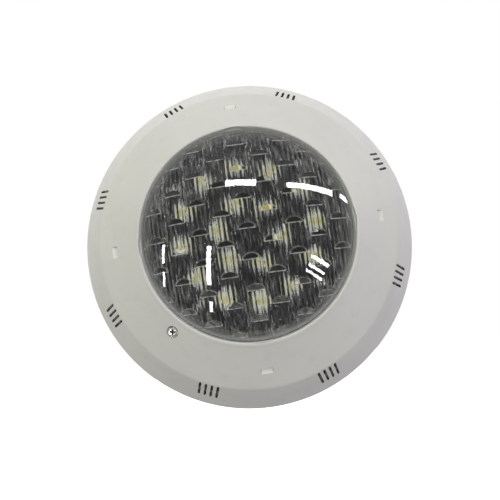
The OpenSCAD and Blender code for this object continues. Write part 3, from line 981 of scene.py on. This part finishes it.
def lens_outside():
    """Clear polycarbonate, smooth, with faint haze, and a shoulder whitened by a painted reflection of the
    lens's rim.
    """
    s = Shader("lens_outside")
    glass = clear_glass(s, 1.56)
    glass.inputs["Color"].default_value = (0.98, 0.985, 0.985, 1)
    s.link(s.ramp(s.noise(6 * MM, 5), 0.35, 0.75, 0.0, 0.015), glass.inputs["Roughness"])
    s.link(s.bump(s.noise(25 * MM, 2), 0.05 * MM, 0.5), glass.inputs["Normal"])
    # Whiter towards the shoulder: painted reflection of the lens's rim
    painted_rim_band = s.ramp(s.radius(), 78.5 * MM, 81 * MM, 0, 0.14)
    return open_to_light(s, s.blend(painted_rim_band, glass.outputs[0], scatter_and_painted_reflection(s)), (0.96, 0.97, 0.97))


def lens_prisms():
    """The patterned inside: rippled along the ribs, with a few bubbles and with white streaks and edge
    lines, painted reflections of the room in the ribs and the prisms' edges.
    """
    s = Shader("lens_prisms")
    glass = clear_glass(s, 1.56)
    glass.inputs["Color"].default_value = (0.98, 0.985, 0.985, 1)
    glass.inputs["Roughness"].default_value = 0.01
    off_moon = s.math("SUBTRACT", 1.0, s.attribute("moon"))
    ripple = s.noise(1 * MM, 2, 0.5, s.stretched((0.8, 0.2, 0.13)))
    stipple = s.noise(0.9 * MM, 2)
    normal = s.bump(s.math("MULTIPLY", ripple, off_moon), 0.2 * MM, 1.0)
    normal = s.bump(s.math("MULTIPLY", stipple, off_moon), 0.18 * MM, 1.0, normal)
    s.link(normal, glass.inputs["Normal"])

    # Streaks along the ribs: painted reflection of the room
    fine = s.ramp(s.noise(1 * MM, 3, 0.6, s.stretched((1.1, 0.2, 0.11))), 0.54, 0.74, 0, 0.34)
    broad = s.ramp(s.noise(1 * MM, 2, 0.5, s.stretched((0.5, 0.1, 0.06))), 0.52, 0.7, 0, 0.13)
    patches = s.ramp(s.noise(14 * MM, 2), 0.35, 0.6, 0.25, 1)
    # Streaks stronger towards the rim: painted reflection
    patches = s.math("MULTIPLY", patches, s.ramp(s.radius(), 45 * MM, 80 * MM, 1, 1.7))
    lines = s.math("MULTIPLY", s.math("MULTIPLY", s.math("ADD", fine, broad), patches), off_moon)
    # Edge lines: painted highlights
    edges = s.math("MULTIPLY", s.attribute("shine"), s.ramp(s.noise(3 * MM, 3), 0.35, 0.65, 0.2, 0.75))
    bubbles = s.ramp(s.cells(10 * MM), 0.06, 0.03, 0, 0.9)
    painted_streaks_and_bubbles = s.math("MAXIMUM", s.math("MAXIMUM", lines, edges), bubbles)
    # Whiter towards the rim: painted reflection of the lens's side wall
    rim = s.ramp(s.radius(), 74 * MM, 79.5 * MM, 0, 0.12)
    surface = s.blend(s.math("MAXIMUM", painted_streaks_and_bubbles, rim), glass.outputs[0], scatter_and_painted_reflection(s))
    return open_to_light(s, surface, (0.96, 0.97, 0.97))


def clear_silicone():
    """The LED domes: clear and slightly milky."""
    s = Shader("led_silicone")
    glass = clear_glass(s, 1.41)
    s.link(s.mix(s.noise(1 * MM, 3), (0.96, 0.93, 0.72), (0.88, 0.84, 0.52)), glass.inputs["Color"])
    s.link(s.ramp(s.noise(0.8 * MM, 2), 0.3, 0.7, 0.03, 0.12), glass.inputs["Roughness"])
    s.link(s.bump(s.noise(1.2 * MM, 2), 0.03 * MM, 0.5), glass.inputs["Normal"])
    return open_to_light(s, glass.outputs[0], (1, 1, 1))


def phosphor():
    s = Shader("phosphor")
    grain = s.noise(0.12 * MM, 3)
    tone = s.mix(grain, (0.58, 0.50, 0.13), (0.70, 0.66, 0.24))
    return s.finish(tone, s.ramp(grain, 0.3, 0.7, 0.5, 0.8), s.bump(grain, 0.03 * MM, 0.6))


def led_white():
    """White LED bodies, a little yellowed towards the cup."""
    s = Shader("led_white")
    tone = s.mix(s.noise(1.5 * MM, 3), (0.86, 0.86, 0.81), (0.75, 0.74, 0.60))
    rough = s.ramp(s.noise(0.5 * MM, 2), 0.3, 0.7, 0.35, 0.5)
    return s.finish(tone, rough, s.bump(s.noise(0.3 * MM, 2), 0.02 * MM, 0.5, s.soft_edges(0.2 * MM)))


def printed_land():
    """Cream print, worn thin in places so that the black board shows through."""
    s = Shader("printed_land")
    wear = s.ramp(s.noise(1.6 * MM, 4), 0.35, 0.7)
    tone = s.mix(wear, (0.68, 0.67, 0.54), (0.36, 0.355, 0.28))
    return s.finish(tone, s.ramp(wear, 0, 1, 0.5, 0.7), s.bump(wear, 0.02 * MM, 0.5))


def board_mask():
    """Black solder mask, with copper tracks that stand up a little beneath it."""
    s = Shader("board_mask")
    tracks = s.cells(11 * MM, "DISTANCE_TO_EDGE")
    raised = s.ramp(tracks, 0.06, 0.08, 0, 1)
    tone = s.mix(raised, (0.010, 0.011, 0.012), (0.005, 0.005, 0.006))
    tone = s.mix(s.ramp(s.noise(2 * MM, 4), 0.5, 0.8, 0, 0.3), tone, (0.025, 0.025, 0.025))
    rough = s.ramp(s.noise(1 * MM, 3), 0.3, 0.7, 0.5, 0.65)
    s.set(Specular_IOR_Level=0.1)
    return s.finish(tone, rough, s.bump(raised, 0.08 * MM, 0.6))


def wound_copper():
    """Enamelled wire wound round the choke's ring."""
    s = Shader("copper_winding")
    s.set(Metallic=0.7)
    turns = s.noise(0.5 * MM, 1, 0.3, s.stretched((1, 0.15, 1)))
    tone = s.mix(turns, (0.62, 0.24, 0.07), (0.30, 0.10, 0.03))
    return s.finish(tone, s.ramp(turns, 0.3, 0.7, 0.2, 0.4), s.bump(turns, 0.3 * MM, 1.0))


def build_materials():
    """One finished material for each of the record's slots."""
    return {
        # Whiter than the ring's plastic, which brightens the post tops in the windows: painted light
        "base_plastic": plastic("base_plastic", (0.90, 0.90, 0.88), 0.35),
        "brass": metal("brass", (0.72, 0.50, 0.20), 0.3, (4, 0.5, 4)),
        "seal_rubber": rubber("seal_rubber", (0.03, 0.03, 0.03)),
        "ring_plastic": ring_plastic(),
        "stainless": metal("stainless", (0.78, 0.77, 0.75), 0.34, (1, 4, 1), bare=0.75),
        "spring_steel": metal("spring_steel", (0.55, 0.56, 0.57), 0.25, (0.2, 1, 3)),
        "nylon": plastic("nylon", (0.78, 0.75, 0.66), 0.45),
        "silicone": rubber("silicone", (0.30, 0.31, 0.32), 0.5),
        "housing_plastic": plastic("housing_plastic", (0.030, 0.031, 0.033), 0.42),
        "board_mask": board_mask(),
        "led_white": led_white(),
        "tinned_lead": metal("tinned_lead", (0.80, 0.80, 0.78), 0.4, bare=0.3),
        "phosphor": phosphor(),
        "led_silicone": clear_silicone(),
        "thermal_pad": rubber("thermal_pad", (0.35, 0.42, 0.50), 0.7),
        "aluminium": metal("aluminium", (0.70, 0.71, 0.72), 0.35, (6, 1, 0.3)),
        "green_mask": plastic("green_mask", (0.02, 0.14, 0.05), 0.3),
        "capacitor_sleeve": plastic("capacitor_sleeve", (0.02, 0.03, 0.12), 0.25),
        "copper_winding": wound_copper(),
        "black_epoxy": plastic("black_epoxy", (0.02, 0.02, 0.02), 0.5),
        "terminal_green": plastic("terminal_green", (0.05, 0.30, 0.08), 0.4),
        "red_wire": rubber("red_wire", (0.45, 0.02, 0.02), 0.45),
        "brown_wire": rubber("brown_wire", (0.18, 0.07, 0.02), 0.45),
        "cable_rubber": rubber("cable_rubber", (0.02, 0.02, 0.022), 0.5),
        "gland_nylon": plastic("gland_nylon", (0.035, 0.035, 0.038), 0.45),
    }


def dress(piece, *materials):
    """Gives the piece these materials. Its faces keep their choice among them."""
    mesh = piece.data
    chosen = read(mesh.polygons, "material_index", kind=np.int32)
    mesh.materials.clear()
    for material in materials:
        mesh.materials.append(material)
    mesh.polygons.foreach_set("material_index", np.minimum(chosen, len(materials) - 1))


def dress_nodes(materials):
    """Gives every CAD node that stays the material of its slot in the record."""
    slots = {row["node"]: row["material_slot"] for row in frame["record"]["subparts"]}
    for name, piece in frame["nodes"].items():
        if slots[name] in materials:
            dress(piece, materials[slots[name]])


# ---------- stage, light and camera ----------

def build_stage():
    """A pale floor well below the light, so even that it melts into the white surroundings."""
    bm = bmesh.new()
    level = -0.55

    def flat(r, a, h):
        return Vector((r * math.cos(a), r * math.sin(a), level + h))

    revolve(bm, [(0, 0), (1.0, 0), (3.0, 0)], 64, place=flat)
    floor = from_bmesh("floor", bm)
    s = Shader("floor")
    s.set(Roughness=0.8, Emission_Color=(1, 1, 1, 1), Emission_Strength=1.0)
    dress(floor, s.finish(s.mix(s.noise(0.4, 3), (0.93, 0.93, 0.93), (0.95, 0.95, 0.95))))
    floor.visible_diffuse = False
    floor.visible_glossy = False
    floor.visible_transmission = False
    floor.visible_shadow = False


# Light on surfaces by direction, as red, green and blue: a constant and a gradient along X, Y and Z
AMBIENT = (0.49, 0.476, 0.484)
GRADIENT = ((0.05, -0.49, 0.375), (0.04, -0.50, 0.38), (0.11, -0.43, 0.345))
# The room that mirrorings show, dim where the camera stands and brighter beyond two angles in degrees.
# What the prisms inside the lens mirror is brighter than what its smooth outside mirrors.
FRONT_GLOW = 0.10
MIRROR_GLOW = 0.9
MIRROR_EDGES = (68, 92)
PRISM_GLOW = 0.7
PRISM_EDGES = (42, 75)


def build_world():
    """White behind the object. Surfaces are lit by a soft gradient, and mirrorings show the room."""
    world = bpy.data.worlds.new("studio")
    bpy.context.scene.world = world
    world.use_nodes = True
    s = Nodes(world.node_tree)
    s.nodes.clear()
    direction = s.node("TexCoord").outputs["Generated"]

    def along(vector, plus):
        dot = s.node("VectorMath", Vector=direction)
        dot.operation = "DOT_PRODUCT"
        dot.inputs[1].default_value = vector
        return s.math("ADD", dot.outputs["Value"], plus)

    def background(colour=(1, 1, 1, 1)):
        return s.node("Background", Color=colour).outputs[0]

    def room(edges, glow, overhead):
        """Dim in front and glowing beyond the edges, the more so overhead."""
        low, high = (math.cos(math.radians(edge)) for edge in edges)
        spread = s.ramp(along((0, -1, 0), 0), low, high, FRONT_GLOW, glow)
        spread.node.interpolation_type = "SMOOTHSTEP"
        return background(s.math("MULTIPLY", spread, along((0, 0, overhead), 1)))

    soft = s.node("CombineColor")
    for channel, (vector, plus) in enumerate(zip(GRADIENT, AMBIENT)):
        s.link(along(vector, plus), soft.inputs[channel])
    path = s.node("LightPath")
    mirrored = s.blend(path.outputs["Is Transmission Ray"], room(MIRROR_EDGES, MIRROR_GLOW, 0.5),
                       room(PRISM_EDGES, PRISM_GLOW, 0.3))
    lit = s.blend(path.outputs["Is Glossy Ray"], background(soft.outputs[0]), mirrored)
    seen = s.blend(path.outputs["Is Camera Ray"], lit, background())
    s.link(seen, s.node("OutputWorld").inputs["Surface"])


LENS_MIDDLE = Vector((0, -DOME_TOP, 0))
STRIP_DISTANCE = 1.6
STRIP_RADIANCE = 26
# Tube lamps and window bars of the room, by where the dome mirrors them to the camera: both ends of the
# image as x and z on the dome, and its width, in millimetres
STRIPS = [
    ("tube_high", (-11.5, 35.5), (11.5, 32.5), 5.0),
    ("tube_right", (33.5, 28.5), (68.0, 19.0), 4.3),
    ("tube_far_right", (74.0, 17.5), (80.5, 11.5), 3.0),
    ("window_left_high", (-63.5, -2.5), (-65.5, -16.0), 2.2),
    ("window_left_low", (-66.0, -22.0), (-67.5, -33.0), 1.7),
    ("window_mid_left", (-29.0, -9.0), (-33.0, -37.0), 3.4),
    ("window_low_left", (-33.5, -49.0), (-34.5, -56.5), 2.5),
    ("bar_right_1", (38.5, -35.5), (49.5, -44.5), 2.0),
    ("bar_right_2", (41.0, -32.0), (52.0, -40.5), 2.2),
    ("bar_right_3", (44.0, -26.0), (56.0, -35.5), 2.6),
    ("bar_right_cross", (49.5, -32.0), (52.5, -30.0), 2.2),
]


def on_dome(x, z):
    return Vector((x, -float(dome_height(math.hypot(x, z))), z))


def mirrored_at(place, eye):
    """Where a lamp stands that the dome mirrors to the eye at that place."""
    normal = (place - Vector((0, DOME_R - DOME_TOP, 0))).normalized()
    sight = (place - eye).normalized()
    return place + (sight - 2 * sight.dot(normal) * normal) * STRIP_DISTANCE


def area_light(name, centre, along, target, length, width, radiance):
    """A rectangular lamp that only mirrorings show. Its long side runs along one direction."""
    data = bpy.data.lights.new(name, "AREA")
    data.shape = "RECTANGLE"
    data.size = length
    data.size_y = width
    data.energy = radiance * math.pi * length * width
    lamp = link(name, data)
    back = (centre - target).normalized()
    x = (along - back * along.dot(back)).normalized()
    y = back.cross(x)
    turn = Matrix((x, y, back)).transposed().to_4x4()
    lamp.matrix_world = Matrix.Translation(centre) @ turn
    lamp.visible_camera = False
    lamp.visible_diffuse = False
    lamp.visible_transmission = False
    return lamp


def build_lights(eye):
    for name, start, end, width in STRIPS:
        start, end = Vector(start) * MM, Vector(end) * MM
        across = (end - start).orthogonal().normalized() * width * MM / 2
        middle = (start + end) / 2
        places = (start, end, middle - across, middle + across)
        a, b, c, d = (mirrored_at(on_dome(*p), eye) for p in places)
        length, breadth = (b - a).length, (d - c).length
        area_light(name, (a + b) / 2, b - a, on_dome(*middle), length, breadth, STRIP_RADIANCE)


def light_metal(pieces):
    """A broad lamp in front for bare metal alone, which would else mirror only the dim room."""
    group = bpy.data.collections.new("bare_metal")
    for piece in pieces:
        group.objects.link(piece)
    centre = Vector((-0.3, -1.5, 0.5))
    lamp = area_light("metal_key", centre, Vector((1, 0, 0)), LENS_MIDDLE, 3.0, 2.4, 0.8)
    lamp.light_linking.receiver_collection = group


def light_back():
    """A soft lamp behind the wall plane, where the room is dark, for views of the back alone."""
    centre = Vector((0, 1.6, 0.3))
    lamp = area_light("back_fill", centre, Vector((1, 0, 0)), Vector((0, 0, 0)), 1.2, 1.2, 2.6)
    lamp.visible_diffuse = True
    lamp.visible_glossy = False


def build_camera():
    """The photograph's view: close, a little below the axis, rolled 8 degrees."""
    distance = 0.4
    pitch, yaw, roll = math.radians(-6.85), math.radians(-0.91), math.radians(8.06)
    sensor = 36.0
    focal_share = 0.8929
    # The turn takes right, up and out on the light into the camera's own axes
    turn = Matrix.Rotation(yaw, 3, "Y") @ Matrix.Rotation(pitch, 3, "X") @ Matrix.Rotation(roll, 3, "Z")
    axes = FRONT @ turn.transposed()
    data = bpy.data.cameras.new("camera")
    data.sensor_width = sensor
    data.lens = sensor * focal_share
    data.shift_x = 0.0026
    data.shift_y = -0.019
    data.clip_start = 0.01
    camera = link("camera", data)
    camera.matrix_world = Matrix.Translation(axes @ Vector((0, 0, distance))) @ axes.to_4x4()
    bpy.context.scene.camera = camera
    return camera


# ---------- the scene ----------

ring = build_ring()
lens = build_lens()
screw, shank = build_screw()
cable = build_cable()
lands = build_lands()
materials = build_materials()
dress_nodes(materials)
dress(ring, materials["ring_plastic"])
dress(lens, lens_outside(), lens_prisms())
dress(screw, materials["stainless"], cross_painted_shade())
dress(shank, materials["stainless"])
dress(cable, materials["cable_rubber"])
dress(lands, printed_land())
build_stage()
build_world()
camera = build_camera()
build_lights(camera.matrix_world.translation)
light_metal([screw, shank])
light_back()
bpy.context.scene.view_settings.view_transform = "Standard"
